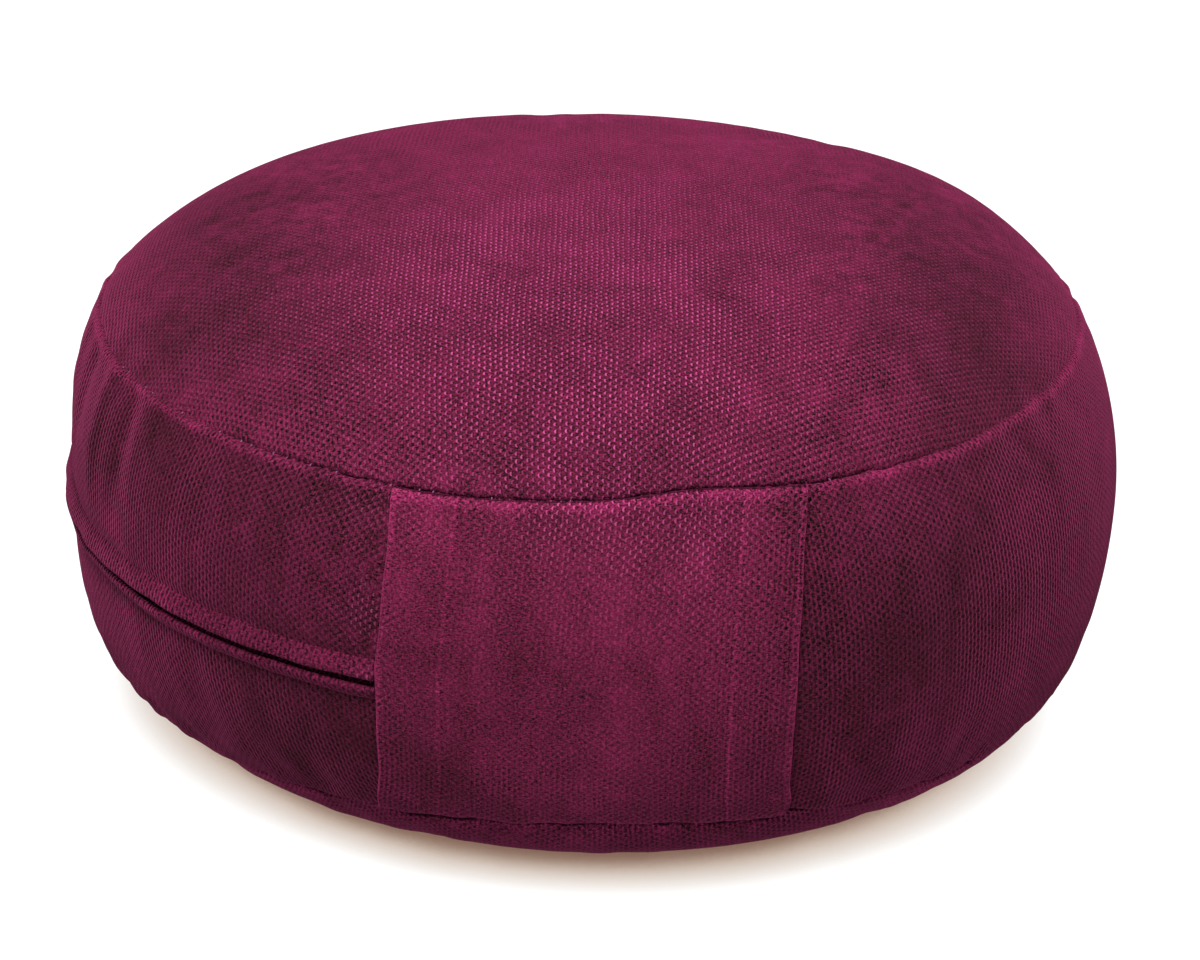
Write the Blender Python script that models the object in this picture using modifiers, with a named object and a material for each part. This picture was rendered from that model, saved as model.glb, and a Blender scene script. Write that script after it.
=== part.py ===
"""Round zafu meditation cushion, 33 cm across and 16.7 cm high.

A filled body of two discs and a side band, a hemmed panel over the front of the band, and the two
folded edges of the slot on its left side. Each piece is made on an even, round form, and then
settled: moved by the same small amounts by which a stuffed cover strays from that form.
Metres, +Z up, front towards -Y, origin in the middle of the flat foot.
"""
import math

import bmesh
import bpy
from mathutils import Vector

# Body: radii and heights of the even form
GIRTH_RADIUS = 0.165
GIRTH_HEIGHT = 0.0787
CROWN_HEIGHT = 0.167
TOP_SEAM_RADIUS = 0.150
TOP_SEAM_HEIGHT = 0.1308
BOTTOM_SEAM_RADIUS = 0.151
BOTTOM_SEAM_HEIGHT = 0.0219
FOOT_RADIUS = 0.095
UPPER_FULLNESS = 1.82
LOWER_FULLNESS = 1.33
FOOT_TURN = math.radians(81)
SEAM_DEPTH = 0.0024
SEAM_HALF_WIDTH = 0.0026
BODY_STEPS = 84

# How the crown falls from its middle to its seam: (power of the step outwards, share of the fall)
CROWN_FALL = (
    (2, 0.28),
    (4, 0.36),
    (8, 0.36),
)

# Front panel: a flat rectangle of cloth, laid over the band. How far its sides lie from the middle of
# the front: from the bottom seam up to half its height, and at the top seam, which draws it in
PANEL_LEFT = 0.0625
PANEL_RIGHT = 0.0606
PANEL_TOP_LEFT = 0.0549
PANEL_TOP_RIGHT = 0.0618
PANEL_THICKNESS = 0.0018
PANEL_EDGE_TO_SEAM = 0.0012
PANEL_COLUMNS = 22
PANEL_ROWS = 20

# Slot: its two folded edges run round the left side from the panel
SLOT_HEIGHT = 0.0704
SLOT_GAP = 0.0013
SLOT_START = math.radians(-21.95)
SLOT_LENGTH = 0.350
SLOT_STEPS = 60
FLAP_WIDTH = 0.0065
FLAP_FOLD = 0.0022
FLAP_HEM = 0.0010
LIP_WIDTH = 0.0040
LIP_FOLD = 0.0019
LIP_HEM = 0.0010
GAP = 0.0004

# How far a seam or the girth strays from an even circle, in metres, as weights of cos a, sin a,
# cos 2a and sin 2a. The angle a runs from the front towards the right.
# (towards the front, towards the right, oval, skew)
TOP_SEAM_REACH = (0.0050, -0.0022, -0.0014, -0.0019)
TOP_SEAM_RISE = (0.0, 0.0002, -0.0013, 0.0003)
BOTTOM_SEAM_REACH = (0.0005, -0.0021, -0.0011, 0.0028)
BOTTOM_SEAM_RISE = (-0.0014, 0.0013, 0.0041, 0.0014)
GIRTH_REACH = (-0.0026, 0.0003, -0.0005, 0.0013)

# Where a seam is pulled out of its even line: (angle in degrees, spread in degrees, rise, reach)
TOP_SEAM_PULLS = (
    (11.5, 8, 0.0018, -0.0022),
    (-16, 12, -0.0006, 0.0005),
    (43, 10, -0.0006, 0.0008),
)
BOTTOM_SEAM_PULLS = (
    (3, 13, 0.0010, 0.0),
)

# Soft swells and folds of the band:
# (angle in degrees, height, spread along the band, spread up the band, outward)
SWELLS = (
    (-102, 0.079, 0.020, 0.014, 0.0021),
    (-83.5, 0.093, 0.010, 0.013, -0.0034),
    (-70, 0.106, 0.008, 0.017, 0.0009),
    (-60, 0.108, 0.008, 0.016, -0.0008),
    (-47, 0.050, 0.007, 0.016, -0.0006),
    (-128, 0.100, 0.014, 0.022, -0.0012),
    (124.5, 0.148, 0.055, 0.018, 0.0050),
    (150, 0.064, 0.030, 0.020, 0.0012),
    (-53, 0.014, 0.050, 0.018, -0.0027),
    (63, 0.029, 0.050, 0.018, -0.0011),
    (3, 0.006, 0.060, 0.012, 0.0027),
)

PLUM = (0.142, 0.012, 0.060, 1.0)
PLUM_LIGHT = (0.185, 0.016, 0.080, 1.0)


def clear_scene():
    """Remove what the scene holds."""
    for thing in list(bpy.data.objects):
        bpy.data.objects.remove(thing)


def cloth(name, colour, roughness):
    """Make the material of one cut of the cloth."""
    material = bpy.data.materials.new(name)
    material.use_nodes = True
    shader = material.node_tree.nodes["Principled BSDF"]
    shader.inputs["Base Color"].default_value = colour
    shader.inputs["Roughness"].default_value = roughness
    shader.inputs["Metallic"].default_value = 0.0
    return material


def crown_curve(step):
    """Top disc, from its middle (0) to the top seam (1)."""
    fall = sum(share * step ** power for power, share in CROWN_FALL)
    return TOP_SEAM_RADIUS * step, CROWN_HEIGHT - (CROWN_HEIGHT - TOP_SEAM_HEIGHT) * fall


def upper_curve(step):
    """Upper half of the band, from the top seam (0) to the girth (1)."""
    turn = (1 - step) * math.pi / 2
    reach = (GIRTH_RADIUS - TOP_SEAM_RADIUS) * math.cos(turn) ** UPPER_FULLNESS
    rise = (TOP_SEAM_HEIGHT - GIRTH_HEIGHT) * math.sin(turn)
    return TOP_SEAM_RADIUS + reach, GIRTH_HEIGHT + rise


def lower_curve(step):
    """Lower half of the band, from the girth (0) to the bottom seam (1)."""
    turn = (1 - step) * math.pi / 2
    reach = (GIRTH_RADIUS - BOTTOM_SEAM_RADIUS) * math.sin(turn) ** LOWER_FULLNESS
    rise = (GIRTH_HEIGHT - BOTTOM_SEAM_HEIGHT) * (1 - math.cos(turn))
    return BOTTOM_SEAM_RADIUS + reach, BOTTOM_SEAM_HEIGHT + rise


def foot_curve(step):
    """Bottom disc, from the bottom seam (0) to the edge of the flat foot (1)."""
    turn = (1 - step) * FOOT_TURN
    reach = (BOTTOM_SEAM_RADIUS - FOOT_RADIUS) * math.sin(turn) / math.sin(FOOT_TURN)
    rise = BOTTOM_SEAM_HEIGHT * (1 - math.cos(turn)) / (1 - math.cos(FOOT_TURN))
    return FOOT_RADIUS + reach, rise


def sample(curve, first, last, count):
    """Points of a curve at even steps, both ends included."""
    return [Vector(curve(first + (last - first) * k / (count - 1))) for k in range(count)]


def trimmed(points, seam):
    """Leave out the points that lie within the crease of a seam."""
    return [point for point in points if (point - seam).length > SEAM_HALF_WIDTH * 1.3]


def crease(above, below, seam):
    """Profile of a sewn seam: its two lips, and the stitch line drawn in between them."""
    lip_above = seam + (above - seam).normalized() * SEAM_HALF_WIDTH
    lip_below = seam + (below - seam).normalized() * SEAM_HALF_WIDTH
    along = (below - above).normalized()
    inward = Vector((along.y, -along.x))
    return [lip_above, seam + inward * SEAM_DEPTH, lip_below]


def body_profile():
    """The body's section, from the crown down to the edge of the foot."""
    top_seam = Vector((TOP_SEAM_RADIUS, TOP_SEAM_HEIGHT))
    bottom_seam = Vector((BOTTOM_SEAM_RADIUS, BOTTOM_SEAM_HEIGHT))
    crown = trimmed(sample(crown_curve, 0.0, 0.55, 5) + sample(crown_curve, 0.62, 1.0, 9), top_seam)
    upper = trimmed(sample(upper_curve, 0.0, 1.0, 9), top_seam)
    lower = trimmed(sample(lower_curve, 0.1, 1.0, 9), bottom_seam)
    foot = trimmed(sample(foot_curve, 0.0, 1.0, 8), bottom_seam)
    return (crown + crease(crown[-1], upper[0], top_seam) + upper
            + lower + crease(lower[-1], foot[0], bottom_seam) + foot)


def band_point(run, offset):
    """A point beside the band's section: run goes from the bottom seam (0) to the top seam (1)."""
    def at(place):
        if place < 0.5:
            return Vector(lower_curve(1 - 2 * place))
        return Vector(upper_curve(2 - 2 * place))
    small = 0.004
    low, high = max(run - small, 0.0), min(run + small, 1.0)
    along = (at(high) - at(low)).normalized()
    return at(run) + Vector((along.y, -along.x)) * offset


def band_run_at(height):
    """The run of the band's section at a height of the even form."""
    low, high = 0.0, 1.0
    for _ in range(40):
        middle = (low + high) / 2
        if band_point(middle, 0.0).y < height:
            low = middle
        else:
            high = middle
    return (low + high) / 2


def wave(weights, angle):
    """The stray of a seam at an angle, from its four weights."""
    front, right, oval, skew = weights
    return (front * math.cos(angle) + right * math.sin(angle)
            + oval * math.cos(2 * angle) + skew * math.sin(2 * angle))


def swell_at(angle, height):
    """The outward move that the soft swells and folds give together."""
    total = 0.0
    for degrees, middle, along, up, outward in SWELLS:
        turn = (angle - math.radians(degrees) + math.pi) % (2 * math.pi) - math.pi
        total += outward * math.exp(-(turn * GIRTH_RADIUS / along) ** 2 - ((height - middle) / up) ** 2)
    return total


def pull_at(pulls, angle):
    """The rise and the reach that the pulled stretches of a seam give together."""
    total = Vector((0.0, 0.0))
    for degrees, spread, rise, reach in pulls:
        total += Vector((rise, reach)) * math.exp(-((math.degrees(angle) - degrees) / spread) ** 2)
    return total


def seam_shares(radius, height):
    """How much a point follows each seam: (top rise, top reach, bottom) from 0 to 1."""
    if height >= TOP_SEAM_HEIGHT:
        rise = max(CROWN_HEIGHT - height, 0.0) / (CROWN_HEIGHT - TOP_SEAM_HEIGHT)
        return rise, min(radius / TOP_SEAM_RADIUS, 1.0), 0.0
    if height >= GIRTH_HEIGHT:
        rise = (height - GIRTH_HEIGHT) / (TOP_SEAM_HEIGHT - GIRTH_HEIGHT)
        return rise, rise, 0.0
    if height >= BOTTOM_SEAM_HEIGHT:
        return 0.0, 0.0, (GIRTH_HEIGHT - height) / (GIRTH_HEIGHT - BOTTOM_SEAM_HEIGHT)
    return 0.0, 0.0, max(height, 0.0) / BOTTOM_SEAM_HEIGHT


def settle(point):
    """Move a point of the even form to where the stuffed cushion has it."""
    radius = math.hypot(point.x, point.y)
    if radius < 1e-6:
        return
    angle = math.atan2(point.x, -point.y)
    top_rise, top_reach, bottom = seam_shares(radius, point.z)
    top_pull = pull_at(TOP_SEAM_PULLS, angle)
    bottom_pull = pull_at(BOTTOM_SEAM_PULLS, angle)
    reach = ((wave(TOP_SEAM_REACH, angle) + top_pull.y) * top_reach
             + (wave(BOTTOM_SEAM_REACH, angle) + bottom_pull.y) * bottom
             + wave(GIRTH_REACH, angle) * radius / GIRTH_RADIUS
             + swell_at(angle, point.z) * min(radius / BOTTOM_SEAM_RADIUS, 1.0))
    rise = ((wave(TOP_SEAM_RISE, angle) + top_pull.x) * top_rise
            + (wave(BOTTOM_SEAM_RISE, angle) + bottom_pull.x) * bottom)
    scale = (radius + reach) / radius
    point.x *= scale
    point.y *= scale
    point.z += rise


def add_object(name, mesh, material, collection):
    """Put a mesh in the collection as one named object with its material."""
    mesh.materials.append(material)
    thing = bpy.data.objects.new(name, mesh)
    collection.objects.link(thing)
    return thing


def turned_mesh(name, profile, closed, sweep, steps):
    """Turn a profile about the Z axis with a Screw modifier and return the mesh."""
    mesh = bpy.data.meshes.new(name + "_profile")
    edges = [(k, k + 1) for k in range(len(profile) - 1)]
    if closed:
        edges.append((len(profile) - 1, 0))
    mesh.from_pydata([(point.x, 0.0, point.y) for point in profile], edges, [])
    guide = bpy.data.objects.new(name + "_profile", mesh)
    bpy.context.scene.collection.objects.link(guide)
    screw = guide.modifiers.new("turn", "SCREW")
    screw.axis = "Z"
    screw.angle = sweep
    screw.steps = steps
    screw.render_steps = steps
    screw.use_merge_vertices = True
    screw.merge_threshold = 0.00001
    depsgraph = bpy.context.evaluated_depsgraph_get()
    turned = bpy.data.meshes.new_from_object(guide.evaluated_get(depsgraph))
    bpy.data.objects.remove(guide)
    turned.name = name
    return turned


def close_and_settle(mesh, start):
    """Cap the open ends, turn the piece to its place, settle it and face it outwards."""
    shape = bmesh.new()
    shape.from_mesh(mesh)
    bmesh.ops.remove_doubles(shape, verts=shape.verts, dist=0.00001)
    open_edges = [edge for edge in shape.edges if edge.is_boundary]
    bmesh.ops.holes_fill(shape, edges=open_edges, sides=0)
    for vert in shape.verts:
        radius = math.hypot(vert.co.x, vert.co.y)
        angle = math.atan2(vert.co.y, vert.co.x) + start
        vert.co.x = radius * math.cos(angle)
        vert.co.y = radius * math.sin(angle)
        settle(vert.co)
    bmesh.ops.recalc_face_normals(shape, faces=shape.faces)
    if shape.calc_volume(signed=True) < 0:
        bmesh.ops.reverse_faces(shape, faces=shape.faces)
    shape.to_mesh(mesh)
    shape.free()
    mesh.shade_smooth()
    mesh.set_sharp_from_angle(angle=math.radians(50))


def make_body(collection):
    """The filled body: crowned top disc, full side band, bottom disc and flat foot."""
    mesh = turned_mesh("cushion", body_profile(), False, 2 * math.pi, BODY_STEPS)
    close_and_settle(mesh, 0.0)
    return add_object("cushion", mesh, cloth("plum_velour_body", PLUM, 0.9), collection)


def fold_section(low, width, fold, hem):
    """Section of a folded edge on the band: thick at its fold and thin at its stitched side.

    low is the height of the fold's own edge; a negative width runs down from there."""
    folded = band_run_at(low)
    sewn = band_run_at(low + width)
    inner = [band_point(folded + (sewn - folded) * k / 3, GAP) for k in range(4)]
    outer = [
        band_point(sewn, GAP + hem),
        band_point(folded + (sewn - folded) * 0.66, GAP + hem + (fold - hem) * 0.5),
        band_point(folded + (sewn - folded) * 0.33, GAP + fold),
        band_point(folded + (sewn - folded) * 0.10, GAP + fold * 0.88),
    ]
    return inner + outer


def make_slot_edge(name, low, width, fold, hem, material, collection):
    """One folded edge of the slot, swept round the left side of the band."""
    sweep = SLOT_LENGTH / GIRTH_RADIUS
    mesh = turned_mesh(name, fold_section(low, width, fold, hem), True, sweep, SLOT_STEPS)
    front = -math.pi / 2
    close_and_settle(mesh, front + SLOT_START - sweep)
    return add_object(name, mesh, material, collection)


def lay_on_band(vert, first_run, last_run):
    """Lay one point of the flat panel on the even band: x goes round it and y goes up it."""
    up = vert.co.y + 0.5
    across = vert.co.x + 0.5
    place = band_point(first_run + (last_run - first_run) * up, GAP)
    near_top = max(2 * up - 1, 0.0)
    left = PANEL_LEFT + (PANEL_TOP_LEFT - PANEL_LEFT) * near_top
    right = PANEL_RIGHT + (PANEL_TOP_RIGHT - PANEL_RIGHT) * near_top
    angle = (right * across - left * (1 - across)) / place.x
    vert.co = Vector((place.x * math.sin(angle), -place.x * math.cos(angle), place.y))


def make_panel(collection):
    """The hemmed rectangle over the front of the band, from seam to seam."""
    first_run = band_run_at(BOTTOM_SEAM_HEIGHT + PANEL_EDGE_TO_SEAM)
    last_run = band_run_at(TOP_SEAM_HEIGHT - PANEL_EDGE_TO_SEAM)
    shape = bmesh.new()
    bmesh.ops.create_grid(shape, x_segments=PANEL_COLUMNS, y_segments=PANEL_ROWS, size=0.5)
    for vert in shape.verts:
        lay_on_band(vert, first_run, last_run)
        settle(vert.co)
    bmesh.ops.recalc_face_normals(shape, faces=shape.faces)
    if shape.faces[:][0].normal.y > 0:
        bmesh.ops.reverse_faces(shape, faces=shape.faces)
    mesh = bpy.data.meshes.new("front_panel")
    shape.to_mesh(mesh)
    shape.free()
    panel = add_object("front_panel", mesh, cloth("plum_velour_panel", PLUM_LIGHT, 0.85), collection)
    thick = panel.modifiers.new("cloth", "SOLIDIFY")
    thick.thickness = PANEL_THICKNESS
    thick.offset = 1.0
    thick.use_even_offset = True
    mesh.shade_smooth()
    return panel


def main():
    clear_scene()
    collection = bpy.data.collections.new("zafu_meditation_cushion")
    bpy.context.scene.collection.children.link(collection)
    make_body(collection)
    make_panel(collection)
    make_slot_edge("zip_flap_upper", SLOT_HEIGHT + SLOT_GAP / 2, FLAP_WIDTH, FLAP_FOLD, FLAP_HEM,
                   cloth("plum_velour_flap", PLUM, 0.9), collection)
    make_slot_edge("zip_lip_lower", SLOT_HEIGHT - SLOT_GAP / 2, -LIP_WIDTH, LIP_FOLD, LIP_HEM,
                   cloth("plum_velour_lip", PLUM, 0.9), collection)


main()
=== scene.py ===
"""Looks of the zafu meditation cushion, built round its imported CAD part.

The body is one closed, stuffed form of two discs and a band. A hemmed panel and the two folded edges
of the slot lie on it as sheets of cloth. Metres, +Z up, front towards -Y, angles from the front
towards the right.
"""
import math

import bmesh
import bpy
import numpy as np
from mathutils import Matrix, Vector


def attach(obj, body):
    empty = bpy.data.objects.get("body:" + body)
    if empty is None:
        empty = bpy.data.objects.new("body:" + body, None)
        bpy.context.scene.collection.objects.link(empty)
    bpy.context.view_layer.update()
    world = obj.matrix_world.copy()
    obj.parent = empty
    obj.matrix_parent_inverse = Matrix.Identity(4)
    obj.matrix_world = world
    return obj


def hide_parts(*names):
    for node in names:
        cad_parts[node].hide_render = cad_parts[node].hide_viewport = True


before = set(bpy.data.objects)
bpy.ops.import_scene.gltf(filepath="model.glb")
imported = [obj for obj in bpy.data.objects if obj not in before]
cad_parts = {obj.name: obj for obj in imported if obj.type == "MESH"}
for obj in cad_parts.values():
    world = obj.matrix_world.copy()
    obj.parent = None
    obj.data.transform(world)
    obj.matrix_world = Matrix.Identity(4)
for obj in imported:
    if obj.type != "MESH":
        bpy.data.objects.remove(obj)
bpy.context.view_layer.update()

MM = 0.001
TURN = 2 * math.pi

# Even form of the body, as in the part
GIRTH_RADIUS = 0.165
GIRTH_HEIGHT = 0.0787
CROWN_HEIGHT = 0.167
TOP_SEAM_RADIUS = 0.150
TOP_SEAM_HEIGHT = 0.1308
BOTTOM_SEAM_RADIUS = 0.151
BOTTOM_SEAM_HEIGHT = 0.0219
FOOT_RADIUS = 0.095
UPPER_FULLNESS = 1.82
LOWER_FULLNESS = 1.33
FOOT_TURN = math.radians(81)
CROWN_FALL = ((2, 0.28), (4, 0.36), (8, 0.36))
POLE_EASE = 10 * MM

# Strays of the seams: weights of cos a, sin a, cos 2a and sin 2a
TOP_SEAM_REACH = (0.0050, -0.0022, -0.0014, -0.0019)
TOP_SEAM_RISE = (0.0, 0.0002, -0.0013, 0.0003)
BOTTOM_SEAM_REACH = (0.0005, -0.0021, -0.0011, 0.0028)
BOTTOM_SEAM_RISE = (-0.0014, 0.0013, 0.0041, 0.0014)
GIRTH_REACH = (-0.0026, 0.0003, -0.0005, 0.0013)

# (angle in degrees, spread in degrees, rise, reach)
TOP_SEAM_PULLS = ((11.5, 8, 0.0018, -0.0022), (-16, 12, -0.0006, 0.0005), (43, 10, -0.0006, 0.0008))
BOTTOM_SEAM_PULLS = ((3, 13, 0.0010, 0.0),)

# (angle in degrees, height, spread along the band, spread up the band, outward)
SWELLS = (
    (-102, 0.079, 0.020, 0.014, 0.0021),
    (-83.5, 0.093, 0.010, 0.013, -0.0034),
    (-70, 0.106, 0.008, 0.017, 0.0009),
    (-60, 0.108, 0.008, 0.016, -0.0008),
    (-47, 0.050, 0.007, 0.016, -0.0006),
    (-128, 0.100, 0.014, 0.022, -0.0012),
    (124.5, 0.148, 0.055, 0.018, 0.0050),
    (150, 0.064, 0.030, 0.020, 0.0012),
    (-53, 0.014, 0.050, 0.018, -0.0027),
    (63, 0.029, 0.050, 0.018, -0.0011),
    (3, 0.006, 0.060, 0.012, 0.0027),
)

# Soft folds that hang from the top seam: (angle at the seam in degrees, lean, width, length, outward),
# the last three in millimetres
FOLDS = (
    (-81, 0.10, 5.0, 50, 1.0),
    (-74, 0.16, 4.5, 46, -1.3),
    (-66, 0.12, 4.5, 50, 1.3),
    (-59, 0.18, 5.0, 40, -1.1),
    (-50, 0.10, 6.0, 34, 0.4),
    (58, -0.10, 7.0, 40, 0.4),
    (67, -0.14, 6.0, 45, -0.5),
)

# Body mesh. The seam rows are distances from a seam, and the slot rows distances from the slot
BODY_COLUMNS = 592
CROWN_SPACING = 3.4 * MM
BAND_SPACING = 1.75 * MM
BASE_SPACING = 3.6 * MM
FLAT_FOOT_ROWS = 2
CLOSEST_ROWS = 0.12 * MM
SEAM_ROWS = np.array([0, 0.35, 0.8, 1.4, 2.1, 3.0, 4.2, 5.8, 8.0]) * MM
SLOT_ROWS = np.array([-8, -7.4, -6.9, -6.4, -5.6, -3, -2.2, -1.6, -1.1, -0.6, 0, 0.6, 1.1, 1.6,
                      2.2, 3, 3.8, 4.4, 4.9, 5.6, 6.6]) * MM
SKIN_ROWS, SKIN_COLUMNS = 170, 720
WELD = 0.004 * MM

# Swell of the cover: the cloth solver's settings, and what is kept of its result
CLOTH = {"quality": 6, "mass": 0.25, "tension_stiffness": 14, "compression_stiffness": 14,
         "shear_stiffness": 4, "bending_stiffness": 0.12, "shrink_min": -0.006,
         "use_pressure": True, "uniform_pressure_force": 4.0}
CLOTH_FRAMES = 20
COARSE_COLUMNS = 128
COARSE_SPACING = (9 * MM, 7 * MM, 9 * MM)
AT_SEAM = 0.1 * MM
CLEAR_OF_SEAM = 3.5 * MM
FOOT_HELD = 1 * MM
SWELL_CAP = 0.7 * MM
SWELL_SHARE = 0.6

# Sewn seams, in millimetres but for the lift of the bottom seam under the panel
CREASE_DEPTH = 1.6
CREASE_WIDTH = 0.50
CREASE_POWER = 1.4
ROLL_HEIGHT = 0.40
SEAM_LIFT = 3.5 * MM

# Slot and its folded edges. The trough is in millimetres
SLOT_HEIGHT = 0.0704
SLOT_START = math.radians(-21.95)
SLOT_LENGTH = 0.350
SLOT_END = SLOT_START - SLOT_LENGTH / GIRTH_RADIUS
TROUGH_DEPTH = 6.0
TROUGH_WIDTH = 2.2
FLAP_WIDTH = 6.3 * MM
LIP_WIDTH = 4.7 * MM
BESIDE_EDGES = 0.6 * MM

# Front panel: how far its sides lie from the middle of the front, below its middle and at the top seam
PANEL_LEFT, PANEL_RIGHT = 0.0625, 0.0606
PANEL_TOP_LEFT, PANEL_TOP_RIGHT = 0.0549, 0.0618
PANEL_WIDTH = PANEL_LEFT + PANEL_RIGHT
PANEL_TOP_GAP, PANEL_LOW_GAP = 0.35 * MM, 0.45 * MM
PANEL_CLOTH = 1.55 * MM
HEM_WIDTH = 20 * MM
HEM_RISE = 0.55 * MM
HEM_STITCH = 2.9 * MM
STITCH_INSET = 2.8 * MM
CLEAR = 0.35 * MM

# Thread
TOPSTITCH_PITCH = 3.1 * MM
SEAM_PITCH = 4.2 * MM
STITCH_SIDES, STITCH_RINGS = 6, 6

# Cloth: loops in staggered columns
LOOP_ACROSS = TURN * GIRTH_RADIUS / 332
LOOP_ALONG = 2.33 * MM

# Where the nap lies open and its loops carry painted highlights, bright glints that stand in for the light on
# them: (x, y, z, spread, share)
CRISP_AND_GLINTS = (
    (0.000, -0.110, 0.145, 0.060, 1.00),
    (-0.045, -0.060, 0.160, 0.050, 0.50),
    (0.020, -0.030, 0.167, 0.080, 0.60),
    (-0.063, -0.150, 0.092, 0.008, 0.80),
    (-0.063, -0.152, 0.072, 0.006, 0.65),
    (-0.005, -0.163, 0.122, 0.026, 0.40),
    (0.030, -0.160, 0.116, 0.018, 0.20),
    (0.056, -0.154, 0.112, 0.018, -0.25),
)
# Painted light and shade on the pile: where it is painted lighter or darker than the rest, partly because its
# nap differs and partly for how the light falls, such as darker crown sides and rims, a painted shadow on the
# band right of the panel and a lighter crown middle
PAINTED_LIGHT_AND_SHADE = (
    (-0.115, 0.000, 0.152, 0.055, -0.62),
    (0.110, -0.005, 0.152, 0.060, -0.48),
    (0.145, 0.010, 0.138, 0.032, -0.12),
    (0.105, -0.050, 0.150, 0.040, -0.30),
    (0.000, 0.110, 0.155, 0.060, -0.14),
    (0.000, -0.118, 0.145, 0.050, -0.15),
    (0.000, -0.020, 0.167, 0.070, 0.06),
    (-0.157, -0.050, 0.095, 0.034, -0.90),
    (0.155, -0.050, 0.095, 0.035, -0.35),
    (-0.150, -0.075, 0.105, 0.026, -0.35),
    (-0.115, -0.115, 0.090, 0.045, 0.14),
    (-0.095, -0.125, 0.040, 0.040, -0.06),
    (0.000, -0.160, 0.035, 0.030, 0.20),
    (0.052, -0.155, 0.080, 0.020, 0.14),
    (0.100, -0.130, 0.085, 0.045, -0.66),
    (-0.098, -0.066, 0.145, 0.034, -0.48),
    (-0.078, -0.108, 0.143, 0.032, -0.26),
    (-0.122, -0.078, 0.137, 0.030, -0.22),
    (0.109, -0.069, 0.142, 0.030, -0.36),
    (0.108, -0.098, 0.134, 0.024, -0.34),
    (0.144, -0.075, 0.115, 0.024, -0.30),
    (0.140, -0.090, 0.082, 0.030, -0.18),
    (0.035, -0.157, 0.050, 0.030, -0.10),
    (-0.095, -0.133, 0.051, 0.035, -0.20),
    (-0.069, -0.148, 0.097, 0.022, 0.38),
    (-0.045, -0.157, 0.045, 0.013, -0.40),
    (-0.028, -0.159, 0.050, 0.009, 0.28),
)
# Where the pile is brushed up and hides the knit, besides a little everywhere and more by the foot
FUZZ = (
    (-0.035, -0.162, 0.100, 0.040, 0.75),
    (-0.040, -0.162, 0.060, 0.025, 0.45),
    (0.010, -0.162, 0.085, 0.030, 0.50),
    (-0.100, 0.020, 0.160, 0.050, 0.62),
    (0.100, 0.020, 0.160, 0.050, 0.62),
    (0.000, 0.110, 0.160, 0.060, 0.40),
    (-0.105, -0.045, 0.150, 0.040, 0.36),
    (0.105, -0.045, 0.150, 0.040, 0.34),
    (-0.142, -0.078, 0.105, 0.030, 0.40),
    (-0.069, -0.148, 0.097, 0.022, 0.16),
    (0.142, -0.088, 0.084, 0.030, 0.20),
    (0.105, -0.120, 0.052, 0.055, -0.24),
    (-0.105, -0.125, 0.050, 0.050, -0.20),
)
FUZZ_ALL = 0.12
FUZZ_FOOT = 0.20
FOOT_TOP, FOOT_FADE = 0.027, 0.005

# Colours and gloss of the velour, with the colours of its painted shade in pits and creases and of its
# painted glints on the loops
PILE = (0.178, 0.0100, 0.0580, 1.0)
PILE_FLOOR = (0.0, 0.0060, 0.0, 1.0)
PILE_PIT_SHADE = (0.024, 0.0078, 0.0130, 1.0)
PILE_CREASE_SHADE = (0.012, 0.0012, 0.0055, 1.0)
LOOP_GLINT_COLOUR = (0.88, 0.13, 0.44, 1.0)
SHEEN = 0.40
SHEEN_ROUGHNESS = 0.34
SHEEN_TINT = (1.0, 0.11, 0.39, 1.0)

# Stage. The camera sees the floor, and the cushion sees the darker bounce in its place
GROUND_HALF = 6.0
FLOOR_BASE = (0.20, 0.20, 0.20, 1.0)
# Colours of the floor's painted contact shadow: close under the cushion, and further out
FLOOR_SHADOW_NEAR = (0.19, 0.090, 0.062, 1.0)
FLOOR_SHADOW_MID = (0.50, 0.357, 0.265, 1.0)
FLOOR_OPEN = (1.0, 1.0, 1.0, 1.0)
FLOOR_SEES = 0.021
BOUNCE = (0.225, 0.575, 0.325, 1.0)
WORLD_LIGHT = 0.18
WORLD_COLOUR = (1.0, 1.0, 1.0, 1.0)
WARM = (1.0, 0.985, 0.97)
GREENISH = (1.0, 1.30, 1.05)
WHITE = (1.0, 1.0, 1.0)
# (name, place, height it aims at, size, watts, colour)
LAMPS = (
    ("key", (-0.12, -0.80, 1.30), 0.06, (1.0, 0.8), 17, WARM),
    ("top", (-0.05, 0.15, 1.50), 0.10, (0.8, 0.8), 8, WARM),
    ("front_fill", (-0.35, -1.9, 0.50), 0.07, (1.2, 0.7), 9.5, GREENISH),
    ("left_rim", (-1.6, 0.6, 0.4), 0.08, (0.6, 0.8), 4, WHITE),
    ("right_rim", (1.6, 0.5, 0.4), 0.08, (0.6, 0.8), 8, WHITE),
)

# Camera, fitted to the photograph's frame of 1200 by 960
LENS = 113.8
DISTANCE = 1.217
ELEVATION = math.radians(24.31)
ROLL = math.radians(1.308)
TARGET = Vector((0.0, 0.0, 0.0598))
SHIFT = (8.56 / 1200, 25.43 / 1200)


def smooth(share):
    """Ease a share between 0 and 1 in and out."""
    return share * share * (3 - 2 * share)


def bump(away, middle, width, share=1.0, power=2):
    """A share that peaks at a distance from a line and fades on both sides of it. away is in metres,
    and middle and width are in millimetres."""
    return share * np.exp(-(np.abs(away / MM - middle) / width) ** power)


def crown_curve(step):
    fall = sum(share * step ** power for power, share in CROWN_FALL)
    return np.stack([TOP_SEAM_RADIUS * step, CROWN_HEIGHT - (CROWN_HEIGHT - TOP_SEAM_HEIGHT) * fall], -1)


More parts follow.
